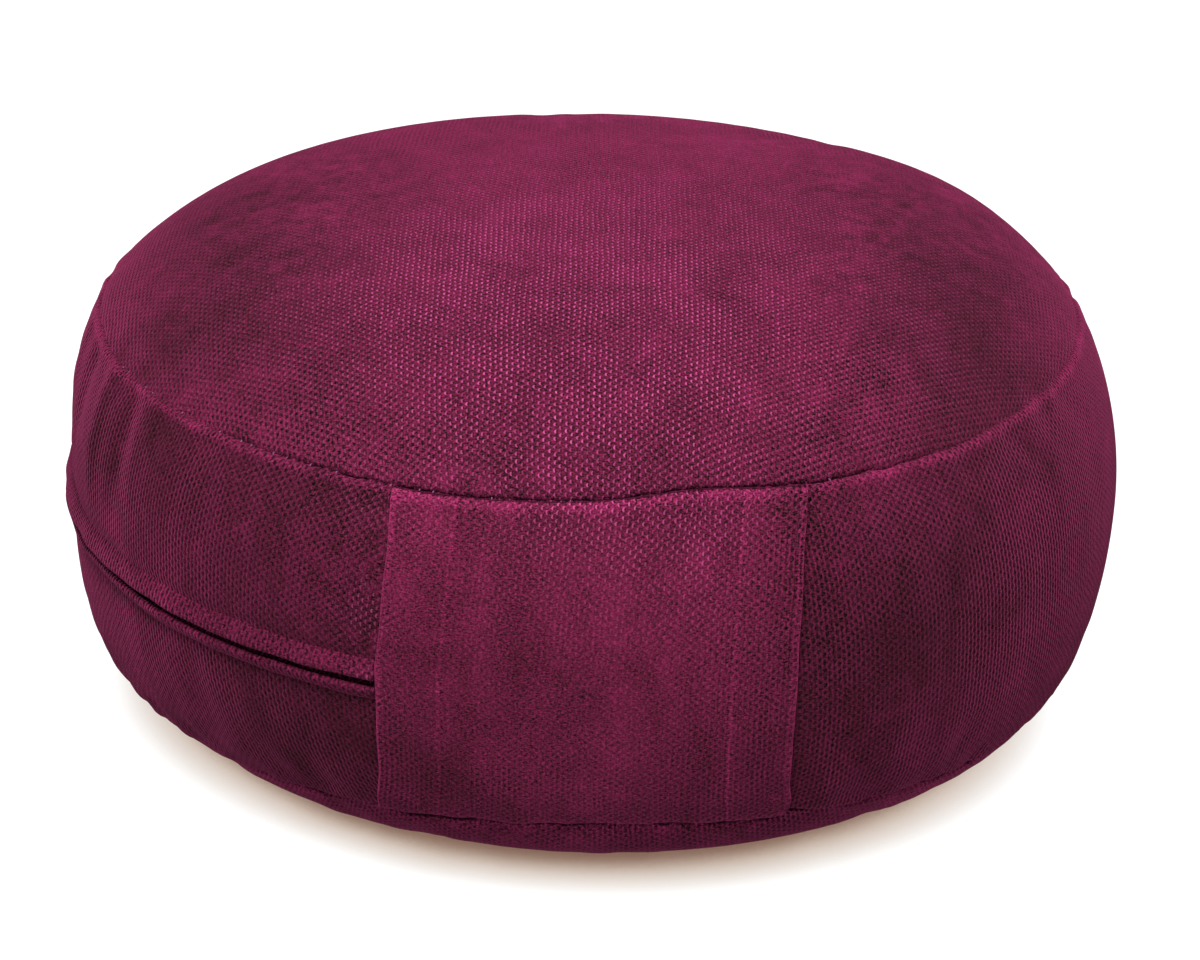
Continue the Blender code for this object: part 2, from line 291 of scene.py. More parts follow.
def upper_curve(step):
    turn = (1 - step) * math.pi / 2
    reach = (GIRTH_RADIUS - TOP_SEAM_RADIUS) * np.cos(turn) ** UPPER_FULLNESS
    return np.stack([TOP_SEAM_RADIUS + reach,
                     GIRTH_HEIGHT + (TOP_SEAM_HEIGHT - GIRTH_HEIGHT) * np.sin(turn)], -1)


def lower_curve(step):
    turn = (1 - step) * math.pi / 2
    reach = (GIRTH_RADIUS - BOTTOM_SEAM_RADIUS) * np.sin(turn) ** LOWER_FULLNESS
    return np.stack([BOTTOM_SEAM_RADIUS + reach,
                     BOTTOM_SEAM_HEIGHT + (GIRTH_HEIGHT - BOTTOM_SEAM_HEIGHT) * (1 - np.cos(turn))], -1)


def foot_curve(step):
    turn = (1 - step) * FOOT_TURN
    reach = (BOTTOM_SEAM_RADIUS - FOOT_RADIUS) * np.sin(turn) / math.sin(FOOT_TURN)
    rise = BOTTOM_SEAM_HEIGHT * (1 - np.cos(turn)) / (1 - math.cos(FOOT_TURN))
    return np.stack([FOOT_RADIUS + reach, rise], -1)


class Section:
    """One cut piece's section, measured along its own length."""

    def __init__(self, *pieces):
        self.points = np.concatenate(pieces)
        steps = np.linalg.norm(np.diff(self.points, axis=0), axis=1)
        self.arc = np.concatenate([[0.0], np.cumsum(steps)])
        self.length = self.arc[-1]

    def at(self, arc):
        """Radius and height at a distance along the section."""
        return np.interp(arc, self.arc, self.points[:, 0]), np.interp(arc, self.arc, self.points[:, 1])

    def arc_at_height(self, height):
        return float(np.interp(-height, -self.points[:, 1], self.arc))


FINE = np.linspace(0.0, 1.0, 3001)
CENTRE = np.array([[0.0, 0.0]])
CROWN = Section(crown_curve(FINE))
BAND = Section(upper_curve(FINE), lower_curve(FINE))
BASE = Section(foot_curve(FINE), CENTRE)
SIDE = Section(upper_curve(FINE), lower_curve(FINE), foot_curve(FINE), CENTRE)
SLOT_ARC = BAND.arc_at_height(SLOT_HEIGHT)


def wave(weights, angle):
    front, right, oval, skew = weights
    return (front * np.cos(angle) + right * np.sin(angle)
            + oval * np.cos(2 * angle) + skew * np.sin(2 * angle))


def turned(angle, degrees):
    """The angle from a given direction, between -pi and pi."""
    return (angle - math.radians(degrees) + math.pi) % TURN - math.pi


def pulls(table, angle, column):
    """What a table's pulls add at an angle, from its column for the rise or the reach."""
    total = 0.0
    for row in table:
        total = total + row[column] * np.exp(-(np.degrees(turned(angle, row[0])) / row[1]) ** 2)
    return total


def settled(radius, height, angle):
    """Where the stuffed cushion has a point of the even form."""
    upper = np.clip((height - GIRTH_HEIGHT) / (TOP_SEAM_HEIGHT - GIRTH_HEIGHT), 0, 1)
    crown = height >= TOP_SEAM_HEIGHT
    top_rise = np.where(crown, (CROWN_HEIGHT - height) / (CROWN_HEIGHT - TOP_SEAM_HEIGHT), upper)
    top_reach = np.where(crown, np.minimum(radius / TOP_SEAM_RADIUS, 1), upper)
    lower = np.clip((GIRTH_HEIGHT - height) / (GIRTH_HEIGHT - BOTTOM_SEAM_HEIGHT), 0, 1)
    bottom = np.where(height < BOTTOM_SEAM_HEIGHT, height / BOTTOM_SEAM_HEIGHT, lower)
    swell = 0.0
    for degrees, middle, along, up, outward in SWELLS:
        turn = turned(angle, degrees)
        swell = swell + outward * np.exp(-(turn * GIRTH_RADIUS / along) ** 2 - ((height - middle) / up) ** 2)
    reach = ((wave(TOP_SEAM_REACH, angle) + pulls(TOP_SEAM_PULLS, angle, 3)) * top_reach
             + (wave(BOTTOM_SEAM_REACH, angle) + pulls(BOTTOM_SEAM_PULLS, angle, 3)) * bottom
             + wave(GIRTH_REACH, angle) * radius / GIRTH_RADIUS
             + swell * np.minimum(radius / BOTTOM_SEAM_RADIUS, 1))
    rise = ((wave(TOP_SEAM_RISE, angle) + pulls(TOP_SEAM_PULLS, angle, 2)) * top_rise
            + (wave(BOTTOM_SEAM_RISE, angle) + pulls(BOTTOM_SEAM_PULLS, angle, 2)) * bottom)
    far = radius + reach * np.minimum(radius / POLE_EASE, 1)
    return np.stack([far * np.sin(angle), -far * np.cos(angle), height + rise], -1)


def normals_of(points):
    """Outward normals of a grid of points: rows run down the cushion and columns run round it."""
    down = np.gradient(points, axis=0)
    round_it = np.roll(points, -1, 1) - np.roll(points, 1, 1)
    normal = np.cross(down, round_it)
    return normal / np.maximum(np.linalg.norm(normal, axis=-1, keepdims=True), 1e-12)


def ripple(angle, seed, fewest, most, size):
    """An uneven wave round the cushion, with between fewest and most waves in one turn."""
    rng = np.random.default_rng(seed)
    total = 0.0
    for count in rng.integers(fewest, most + 1, 9):
        total = total + np.cos(count * angle + rng.uniform(0, TURN)) * rng.uniform(0.5, 1.0)
    return size * total / 2.2


def seam_spaced(length, spacing, first, last, extra=()):
    """Distances along a section: close together by its seams, and evenly spaced between them."""
    low = SEAM_ROWS[-1] if first else 0.0
    high = length - SEAM_ROWS[-1] if last else length
    parts = [np.linspace(low, high, int(round((high - low) / spacing)) + 1), np.array(extra)]
    if first:
        parts.append(SEAM_ROWS[:-1])
    if last:
        parts.append(length - SEAM_ROWS[:-1])
    values = np.sort(np.concatenate(parts))
    return values[np.concatenate([[True], np.diff(values) > CLOSEST_ROWS])]


def body_rows(crown_step, band_step, base_step, slot_rows=()):
    """The body's rows: for each, its section's number and the distance along that section."""
    crown = seam_spaced(CROWN.length, crown_step, False, True)[1:]
    band = seam_spaced(BAND.length, band_step, True, True, slot_rows)[1:]
    base = seam_spaced(BASE.length, base_step, True, False)[1:-1]
    return [(0, arc) for arc in crown] + [(1, arc) for arc in band] + [(2, arc) for arc in base]


def columns_of(rows):
    """The rows' section numbers and their distances, each as one column."""
    return np.array([row[0] for row in rows])[:, None], np.array([row[1] for row in rows])[:, None]


def from_seams(number, arc):
    """Distances from the top seam and the bottom seam, and a metre on a section that lacks the seam."""
    top = np.where(number == 0, CROWN.length - arc, np.where(number == 1, arc, 1.0))
    low = np.where(number == 1, BAND.length - arc, np.where(number == 2, arc, 1.0))
    return top, low


def seam_slide(angle, away):
    """How far the bottom seam rides up along the cover under the panel, at a distance from it."""
    share = np.clip((math.radians(31) - np.abs(angle)) / math.radians(9), 0, 1)
    return SEAM_LIFT * smooth(share) * bump(away, 0, 16)


def form_grid(rows, columns):
    """The settled form on a grid of rows and columns, with each point's angle."""
    angle = np.linspace(-math.pi, math.pi, columns, endpoint=False)
    number, around = np.meshgrid([row[0] for row in rows], angle, indexing="ij")
    arc = np.repeat(columns_of(rows)[1], columns, 1)
    away = np.where(number == 1, BAND.length - arc, arc)
    lower = np.where(number == 2, BAND.length + arc, arc) - seam_slide(around, away) * (number > 0)
    radius, height = np.where(number == 0, CROWN.at(arc), SIDE.at(lower))
    return settled(radius, height, around), around


def whole_arc(rows):
    """Distance from the middle of the crown to each row, over all three sections."""
    before = (0.0, CROWN.length, CROWN.length + BAND.length)
    return np.array([before[number] + arc for number, arc in rows])


def closed_faces(row_count, columns):
    """Faces of a closed form: a grid round the Z axis, and a fan to a pole at each end."""
    near = np.arange(columns)
    far = (near + 1) % columns
    top, bottom = row_count * columns, row_count * columns + 1
    faces = [np.stack([np.full(columns, top), near, far], -1).tolist()]
    for row in range(row_count - 1):
        a, b = row * columns, (row + 1) * columns
        faces.append(np.stack([a + near, b + near, b + far, a + far], -1).tolist())
    last = (row_count - 1) * columns
    faces.append(np.stack([last + near, np.full(columns, bottom), last + far], -1).tolist())
    return [face for part in faces for face in part]


def new_object(name, points, faces):
    mesh = bpy.data.meshes.new(name)
    mesh.from_pydata(points.tolist(), [], faces)
    thing = bpy.data.objects.new(name, mesh)
    bpy.context.scene.collection.objects.link(thing)
    return thing


def coarse_row(row):
    """Whether a row belongs to the coarse cover: the seams themselves, and none close beside them."""
    number, arc = row
    away = min(distance[0] for distance in from_seams(np.array([number]), arc))
    return away < AT_SEAM or away > CLEAR_OF_SEAM


def stuffing_swell(rows, columns):
    """Blow up a coarse copy of the cover with the cloth solver, sewn fast at its seams and foot.

    Returns how far each point of the coarse grid goes out, beyond the mean of its row."""
    points, _ = form_grid(rows, columns)
    count = points.shape[0] * columns
    poles = np.array([[0.0, 0.0, CROWN_HEIGHT], [0.0, 0.0, 0.0]])
    cover = new_object("cover_coarse", np.concatenate([points.reshape(-1, 3), poles]),
                       closed_faces(len(rows), columns))
    sewn = cover.vertex_groups.new(name="sewn")
    seams = {0: CROWN.length, 1: BAND.length}
    fast = [k for k, (number, arc) in enumerate(rows)
            if abs(arc - seams.get(number, -1)) < AT_SEAM or number == 2 and BASE.at(arc)[1] < FOOT_HELD]
    index = [row * columns + column for row in fast for column in range(columns)]
    sewn.add(index + [count + 1], 1.0, "REPLACE")
    settings = cover.modifiers.new("cover", "CLOTH").settings
    for name, value in CLOTH.items():
        setattr(settings, name, value)
    settings.vertex_group_mass = sewn.name
    settings.effector_weights.gravity = 0
    scene = bpy.context.scene
    for number in range(1, CLOTH_FRAMES + 1):
        scene.frame_set(number)
    solved = cover.evaluated_get(bpy.context.evaluated_depsgraph_get()).to_mesh()
    moved = np.zeros(len(solved.vertices) * 3)
    solved.vertices.foreach_get("co", moved)
    moved = moved.reshape(-1, 3)[:count].reshape(points.shape)
    scene.frame_set(1)
    bpy.data.objects.remove(cover)
    out = np.sum((moved - points) * normals_of(points), -1)
    return out - out.mean(1, keepdims=True)


def wider(field, columns):
    """Resample a field round the cushion to more columns, exactly and without a join."""
    waves = np.fft.rfft(field, axis=1)
    full = np.zeros((field.shape[0], columns // 2 + 1), complex)
    full[:, :waves.shape[1]] = waves
    return np.fft.irfft(full, columns, axis=1) * columns / field.shape[1]


def smooth_rows(places, field, wanted):
    """Resample a field from its rows to other rows with smooth curves."""
    slope = np.gradient(field, places, axis=0)
    left = np.clip(np.searchsorted(places, wanted, side="right") - 1, 0, len(places) - 2)
    width = (places[left + 1] - places[left])[:, None]
    t = np.clip((wanted - places[left])[:, None] / width, 0, 1)
    return ((2 * t ** 3 - 3 * t ** 2 + 1) * field[left] + (t ** 3 - 2 * t ** 2 + t) * width * slope[left]
            + (3 * t ** 2 - 2 * t ** 3) * field[left + 1] + (t ** 3 - t ** 2) * width * slope[left + 1])


def make_swell():
    rows = [row for row in body_rows(*COARSE_SPACING) if coarse_row(row)]
    field = stuffing_swell(rows, COARSE_COLUMNS)
    return whole_arc(rows), SWELL_CAP * np.tanh(SWELL_SHARE * field / SWELL_CAP)


def swell_on(solved, rows, columns):
    if solved is None:
        return 0.0
    places, field = solved
    return smooth_rows(places, wider(field, columns), whole_arc(rows))


def tension(angle, away, seed, count, depth, length):
    """Fine hollows that run away from a seam, where its stitches draw the cloth in, in millimetres."""
    rng = np.random.default_rng(seed)
    total = np.zeros(np.broadcast(angle, away).shape)
    for _ in range(count):
        turn = turned(angle, rng.uniform(-180, 180)) * GIRTH_RADIUS
        wide = rng.uniform(2.2, 5.0)
        lean = rng.uniform(-0.25, 0.25)
        deep = depth * rng.uniform(0.25, 1.0)
        far = length * rng.uniform(0.3, 1.0)
        total -= bump(turn + lean * away, 0, wide, deep) * bump(away, 0, far)
    return total


def folds(angle, arc):
    """The soft folds of the band, in millimetres."""
    total = 0.0
    for start, lean, wide, length, outward in FOLDS:
        turn = turned(angle, start) * GIRTH_RADIUS
        fade = np.clip(arc / (6 * MM), 0, 1) * bump(arc, 0, length, power=3)
        total = total + fade * bump(turn + lean * arc, 0, wide, outward)
    return total


def soft_relief(rows, columns, angle, solved):
    """Soft unevenness of the cover: the solved swell, the hollows beside its seams, and its folds."""
    number, arc = columns_of(rows)
    relief = np.zeros((len(rows), columns))
    # (section, distance from the seam, seed, count, depth, length)
    hollows = (
        (0, CROWN.length - arc, 11, 70, 0.22, 16),
        (1, arc, 12, 90, 0.40, 20),
        (1, BAND.length - arc, 13, 110, 0.52, 30),
        (2, arc, 14, 90, 0.30, 12),
    )
    for section, away, *values in hollows:
        relief += np.where(number == section, tension(angle, away, *values), 0.0)
    relief += np.where(number == 1, folds(angle, arc), 0.0)
    return relief * MM + swell_on(solved, rows, columns)


def soft_form(rows, columns, solved):
    """The settled form with its soft relief, with each point's angle."""
    points, angle = form_grid(rows, columns)
    relief = soft_relief(rows, columns, angle, solved)
    return points + normals_of(points) * relief[..., None], angle


def slot_share(angle):
    """How far the slot is open at an angle: 1 along it, and 0 beyond its two ends."""
    start = np.clip((math.radians(-19.5) - angle) / math.radians(1.5), 0, 1)
    return start * smooth(np.clip((angle - SLOT_END) / math.radians(5), 0, 1))


def facing(angle):
    """1 at the front and 0 at the sides and back, where the top seam lies open."""
    return np.exp(-(angle / math.radians(42)) ** 6)


def panel_share(angle):
    """1 below the panel and 0 beyond its sides."""
    from_side = np.minimum(angle * BOTTOM_SEAM_RADIUS + PANEL_LEFT, PANEL_RIGHT - angle * BOTTOM_SEAM_RADIUS)
    return np.clip(from_side / (3 * MM), 0, 1)


def drawn_in(away):
    """The sharp crease at a seam's thread."""
    return bump(away, 0, CREASE_WIDTH, power=CREASE_POWER)


def seam_relief(number, arc, angle):
    """Fine relief of the cover: its sewn seams, the band's rolled edge and the trough of the slot."""
    into_crown = CROWN.length - arc
    up_band = BAND.length - arc
    above = arc - (SLOT_ARC - FLAP_WIDTH - BESIDE_EDGES)
    below = arc - (SLOT_ARC + LIP_WIDTH + BESIDE_EDGES)
    crease = -CREASE_DEPTH * (1 + ripple(angle, 21, 40, 90, 0.15))
    open_crease = crease * (0.15 + 0.85 * facing(angle))
    roll = ROLL_HEIGHT * (1 + ripple(angle, 22, 30, 110, 0.40))
    crown = open_crease * drawn_in(into_crown) + bump(into_crown, 0, 2.8, -0.25)
    top = open_crease * drawn_in(arc) + roll * bump(arc, 2.3, 1.5) + bump(arc, 8.5, 2.2, -0.25)
    low = crease * drawn_in(up_band) + roll * bump(up_band, 2.4, 1.6, 0.8) + bump(up_band, 8.5, 2.4, -0.2)
    slot = (bump(arc - SLOT_ARC, 0, TROUGH_WIDTH, -TROUGH_DEPTH, 4)
            + bump(above, 0, 1.6, -0.30) + bump(above, -4, 3, 0.35)
            + bump(below, 0, 1.2, -0.6) + np.where(below > 0, bump(below, 0, 7, -0.7), 0.0))
    under_panel = bump(arc, 2.2, 1.0, -0.9) + bump(arc, 5.0, 2.0, 0.6)
    base = crease * drawn_in(arc) + roll * bump(arc, 2.0, 1.4, 0.3) + panel_share(angle) * under_panel
    band = top + low + slot_share(angle) * slot
    return MM * np.where(number == 0, crown, np.where(number == 1, band, base))


def sewn_drift(rows, angle, points):
    """Move the points by the seams a little up and down along the section, as the needle strays."""
    top, low = from_seams(*columns_of(rows))
    drift = (ripple(angle, 23, 25, 110, 0.17) * bump(top, 0, 5)
             + ripple(angle, 28, 150, 290, 0.15) * bump(top, 0, 1.2)
             + ripple(angle, 24, 25, 120, 0.35) * bump(low, 0, 5))
    down = np.gradient(points, axis=0)
    down /= np.maximum(np.linalg.norm(down, axis=-1, keepdims=True), 1e-9)
    return points + down * (drift * MM)[..., None]


def band_weave(arc, angle):
    """Where a point of the band lies on its cloth: its wales bow as the cloth is drawn round."""
    turn = np.degrees(angle)
    left = np.clip((-turn - 8) / 14, 0, 1) * np.clip((176 + turn) / 40, 0, 1)
    right = np.clip((turn - 8) / 14, 0, 1) * np.clip((176 - turn) / 40, 0, 1)
    bow = left * (0.30 * arc - 2.6 * arc ** 2) - right * (0.18 * arc - 0.85 * arc ** 2)
    return GIRTH_RADIUS * angle + bow, -arc * (0.93 - 0.05 * left)


def weave_places(number, arc, angle):
    """Where a point lies on its flat cut cloth, in metres."""
    if number == 1:
        return band_weave(arc, angle)
    far = arc if number == 0 else BASE.length - arc
    return far * np.sin(angle), -far * np.cos(angle)


def add_map(mesh, name, values):
    layer = mesh.uv_layers.new(name=name)
    layer.data.foreach_set("uv", np.asarray(values, np.float32).ravel())


def body_weave(rows, columns):
    """The weave map's value for each face corner of the closed body, in the order of its faces."""
    step = TURN / columns
    start = -math.pi + step * np.arange(columns)

    def both_sides(number, arc):
        return [np.stack(np.broadcast_arrays(*weave_places(number, arc, angle)), -1)
                for angle in (start, start + step)]

    pole = np.zeros((columns, 2))
    near, far = both_sides(*rows[0])
    corners = [np.stack([pole, near, far], 1)]
    for (_, above), (number, below) in zip(rows[:-1], rows[1:]):
        near, far = both_sides(number, above if above < below or number == 0 else 0.0)
        low_near, low_far = both_sides(number, below)
        corners.append(np.stack([near, low_near, low_far, far], 1))
    near, far = both_sides(*rows[-1])
    corners.append(np.stack([near, pole, far], 1))
    return np.concatenate([part.reshape(-1, 2) for part in corners])


def spots(points, table):
    """What a table of soft spots adds up to at each point."""
    total = np.zeros(points.shape[:-1])
    for x, y, z, spread, share in table:
        away = np.sum((points - np.array([x, y, z])) ** 2, -1)
        total += share * np.exp(-away / spread ** 2)
    return total


def add_looks(mesh, crease, painted_light):
    """Store how open the nap is and where its loops carry painted glints, its painted light and shade, how
    deep it lies in a crease for the painted crease shade, and how brushed it is.

    The crease share and the painted light are given for each point of the mesh: the painted light makes it
    lighter, and darker where it is below 0."""
    co = np.zeros(len(mesh.vertices) * 3)
    mesh.vertices.foreach_get("co", co)
    co = co.reshape(-1, 3)
    crisp_and_glint = np.clip(spots(co, CRISP_AND_GLINTS), 0, 1)
    # Painted light and shade: the table's spots, with the painted highlights and shade given for each point
    light = np.clip(0.5 + 0.5 * (spots(co, PAINTED_LIGHT_AND_SHADE) + painted_light), 0, 1)
    foot = FUZZ_FOOT * np.clip((FOOT_TOP - co[:, 2]) / FOOT_FADE, 0, 1)
    fuzz = np.clip(FUZZ_ALL + foot + spots(co, FUZZ), 0, 1)
    corner = np.zeros(len(mesh.loops), np.int32)
    mesh.loops.foreach_get("vertex_index", corner)
    add_map(mesh, "nap_glints_and_painted_light", np.stack([crisp_and_glint, light], -1)[corner])
    add_map(mesh, "crease_shade_and_fuzz", np.stack([np.clip(crease, 0, 1), fuzz], -1)[corner])


def painted_shade_of_body(number, arc, angle):
    """How deep in a crease the cover lies, for the painted shade in its creases, and its painted light:
    painted highlights on its raised edges and the base strip, and a painted shadow beside the panel.
    """
    top, low = from_seams(number, arc)
    uneven = 1 + ripple(angle, 27, 90, 280, 0.34)
    # Painted shade: the seams, darker at the front, the slot's gap, the flap's and lip's seams, and the
    # bottom seam under the panel
    seams = ((0.04 + 0.96 * facing(angle)) * bump(top, 0, 0.48 * uneven)
             + bump(low, 0, 0.85 * uneven, 0.95))
    slot = slot_share(angle) * (bump(arc - SLOT_ARC, 0, 2.6, power=4)
                                + bump(arc - SLOT_ARC + FLAP_WIDTH, -0.6, 1.1, 0.10)
                                + bump(arc - SLOT_ARC - LIP_WIDTH, 1.2, 2.2, 0.30))
    edge = 2.3 + 0.9 * np.clip((np.degrees(np.abs(angle)) - 12) / 6, 0, 1)
    below = panel_share(angle) * bump(arc, edge, 0.75 * (1 + 0.4 * (uneven - 1)), 1.6)
    crease = seams + np.where(number == 1, slot, np.where(number == 2, below, 0.0))
    # Painted shadow that the panel's edge casts on the band right of it
    beside = np.maximum(angle * GIRTH_RADIUS - panel_place(PANEL_WIDTH, arc), 0)
    painted_panel_shadow = -0.50 * np.exp(-beside / (6 * MM)) * (np.abs(angle) < 1)
    # Painted highlights on the band's rolled edges, less at the front, and a lighter painted base strip
    rolled = (0.90 - 0.35 * facing(angle)) * bump(arc, 2.0, 1.5) + bump(BAND.length - arc, 2.4, 1.4, 0.15)
    painted_light = np.where(number == 1, rolled + painted_panel_shadow, np.where(number == 2, bump(arc, 4, 9.5, 0.62), 0.0))
    return crease, painted_light


def make_body(solved):
    rows = body_rows(CROWN_SPACING, BAND_SPACING, BASE_SPACING, SLOT_ARC + SLOT_ROWS)
    # The foot is flat inside its rim, so the fan to the pole takes up the rest of it
    inside = BASE.length - FOOT_RADIUS + FLAT_FOOT_ROWS * BASE_SPACING
    rows = [row for row in rows if row[0] < 2 or row[1] < inside]
    number, arc = columns_of(rows)
    points, angle = soft_form(rows, BODY_COLUMNS, solved)
    points = sewn_drift(rows, angle, points)
    points = points + normals_of(points) * seam_relief(number, arc, angle)[..., None]
    points[..., 2] = np.maximum(points[..., 2], 0.0)
    poles = np.array([[0.0, 0.0, points[0, :, 2].mean()], [0.0, 0.0, 0.0]])
    body = new_object("zafu_body", np.concatenate([points.reshape(-1, 3), poles]),
                      closed_faces(len(rows), BODY_COLUMNS))
    add_map(body.data, "weave", body_weave(rows, BODY_COLUMNS))
    crease, painted_light = (np.append(looks.ravel(), [0.0, 0.0]) for looks in painted_shade_of_body(number, arc, angle))
    add_looks(body.data, crease, painted_light)
    body.data.shade_smooth()
    return body


class Skin:
    """The band's soft surface, without its fine relief, for other pieces to lie on."""

    def __init__(self, solved):
        rows = [(1, arc) for arc in np.linspace(0, BAND.length, SKIN_ROWS)]
        self.points, _ = soft_form(rows, SKIN_COLUMNS, solved)
        self.normals = normals_of(self.points)

    def mixed(self, grid, arc, angle):
        """A grid's values between its rows and columns."""
        row = np.clip(arc / BAND.length, 0, 1) * (SKIN_ROWS - 1)
        column = (angle + math.pi) / TURN * SKIN_COLUMNS
        r0 = np.minimum(row.astype(int), SKIN_ROWS - 2)
        c0 = np.floor(column).astype(int)
        fr, fc = (row - r0)[..., None], (column - c0)[..., None]
        c0, c1 = c0 % SKIN_COLUMNS, (c0 + 1) % SKIN_COLUMNS
        return ((grid[r0, c0] * (1 - fc) + grid[r0, c1] * fc) * (1 - fr)
                + (grid[r0 + 1, c0] * (1 - fc) + grid[r0 + 1, c1] * fc) * fr)

    def lay(self, arc, angle, offset):
        """Points that lie a given offset out from the skin."""
        arc, angle, offset = np.broadcast_arrays(arc, angle, offset)
        return self.mixed(self.points, arc, angle) + self.mixed(self.normals, arc, angle) * offset[..., None]


def edge_spaced(length, spacing, close):
    """Distances across a sheet, with the close ones, in millimetres, at both of its edges."""
    close = np.array(close) * MM
    middle = np.linspace(close[-1], length - close[-1], int(round((length - 2 * close[-1]) / spacing)) + 1)
    return np.concatenate([close[:-1], middle, (length - close[:-1])[::-1]])


def rounded(away, radius):
    """Share of a sheet's thickness at a distance from its edge, for a round edge. radius is in
    millimetres."""
    near = np.clip(away / (radius * MM), 0, 1)
    return np.sqrt(1 - (1 - near) ** 2)


def lay_sheet(name, skin, arc, angle, low, thick, cut, weave, crease, painted_light):
    """Make a closed sheet on the skin. thick is its thickness at each point and falls to 0 at all its
    edges; cut is its thickness away from them; the crease share and the painted light are as in add_looks."""
    lift = low + (cut - thick) / 2
    inner = skin.lay(arc, angle, lift)
    outer = skin.lay(arc, angle, lift + thick)
    rows, columns = arc.shape
    index = np.arange(rows * columns).reshape(rows, columns)
    quad = np.stack([index[:-1, :-1], index[1:, :-1], index[1:, 1:], index[:-1, 1:]], -1).reshape(-1, 4)
    back = quad[:, ::-1]
    faces = np.concatenate([quad, back + rows * columns]).tolist()
    thing = new_object(name, np.concatenate([outer.reshape(-1, 3), inner.reshape(-1, 3)]), faces)
    places = np.stack(weave, -1).reshape(-1, 2)
    add_map(thing.data, "weave", np.concatenate([places[quad.ravel()], places[back.ravel()]]))
    add_looks(thing.data, np.tile(crease.ravel(), 2), np.tile(painted_light.ravel(), 2))
    shape = bmesh.new()
    shape.from_mesh(thing.data)
    bmesh.ops.remove_doubles(shape, verts=shape.verts, dist=WELD)
    shape.to_mesh(thing.data)
    shape.free()
    thing.data.shade_smooth()
    return thing


def panel_place(across, arc):
    """How far round the band a point of the panel lies: across goes from its left side."""
    top = np.maximum(1 - 2 * arc / BAND.length, 0)
    left = PANEL_LEFT + (PANEL_TOP_LEFT - PANEL_LEFT) * top
    right = PANEL_RIGHT + (PANEL_TOP_RIGHT - PANEL_RIGHT) * top
    share = across / PANEL_WIDTH
    return right * share - left * (1 - share)


def make_panel(skin):
    x = edge_spaced(PANEL_WIDTH, 1.0 * MM,
                    [0, 0.12, 0.35, 0.7, 1.1, 1.55, 1.95, 2.3, 2.55, 2.8, 3.05, 3.3, 3.7, 4.3, 5.2])
    hem_line = HEM_WIDTH + np.array([-1.4, -0.9, -0.45, 0, 0.45, 0.9, 1.4]) * MM
    far = np.abs(np.minimum(x, PANEL_WIDTH - x) - HEM_WIDTH) > 1.5 * MM
    x = np.sort(np.concatenate([x[far], hem_line, PANEL_WIDTH - hem_line]))
    y = edge_spaced(BAND.length, 0.95 * MM, [0, 0.2, 0.5, 0.9, 1.4, 2.0, 2.8, 3.8])
    down, across = np.meshgrid(y, x, indexing="ij")
    from_side = np.minimum(across, PANEL_WIDTH - across)
    from_end = np.minimum(down, BAND.length - down)
    from_stitch = from_side - STITCH_INSET
    from_hem = from_side - HEM_WIDTH

    arc = PANEL_TOP_GAP + down / BAND.length * (BAND.length - PANEL_TOP_GAP - PANEL_LOW_GAP)
    centred = across / PANEL_WIDTH * 2 - 1
    side = np.sign(centred) * np.abs(centred) ** 6
    stray = 0.35 * np.sin(down / (9 * MM) + 1.3) + 0.3 * np.sin(down / (4.1 * MM))
    corner = bump(BAND.length - down, 0, 5, -2.6, 1.5) * (side > 0) * np.abs(side)
    angle = (panel_place(across, arc) + (side * stray * 0.5 + corner) * MM) / BAND.at(arc)[0]

    hem = smooth(np.clip((1.2 * MM - from_hem) / (2.4 * MM), 0, 1))
    bent = across / (11 * MM) + 0.4 * np.sin(down / (17 * MM))
    buckle = 0.30 * np.sin(bent) * np.sin(down / (23 * MM) + 0.8)
    relief = (bump(from_stitch, 0, 0.42, -0.50) + bump(from_side, 1.4, 0.8, 0.25) + buckle
              + bump(from_hem, 0, 0.8, -0.20)) * MM + HEM_RISE * hem
    thick = (PANEL_CLOTH + relief) * rounded(from_side, 1.0) * rounded(from_end, 0.9)
    tuck = bump(from_end, 0, 1.1, -1.5) + bump(down, 3.2, 2.2, 0.5)
    lift = np.sin(down / (19 * MM)) ** 2 * bump(from_side, 0, 6, 0.5)
    # Painted shade along the topstitch, the hem and both ends; painted highlights on the top roll, the side
    # edges, the bottom end and the top-left corner, and lighter marks along the hem line at its stitch
    # spacing
    crease = bump(from_stitch, 0, 0.45, 0.30) + bump(from_hem, 0.4, 0.5, 0.45) + bump(from_end, 0, 0.8, 1.2)
    hem_marks = bump(from_hem, -0.7, 0.6, 0.9) * (0.5 + 0.5 * np.sin(down * TURN / HEM_STITCH))
    painted_light = (bump(down, 2.6, 2.2, 0.55) + bump(from_side, 0.9, 0.9, 0.75)
            + bump(BAND.length - down, 2.4, 1.6, 0.85) + hem_marks
            + bump(down, 1.5, 5, 0.7) * bump(across, 1.5, 5))
    return lay_sheet("front_panel_cloth", skin, arc, angle, CLEAR + (tuck + lift) * MM, thick, PANEL_CLOTH,
                     (across, -0.95 * arc), crease, painted_light)


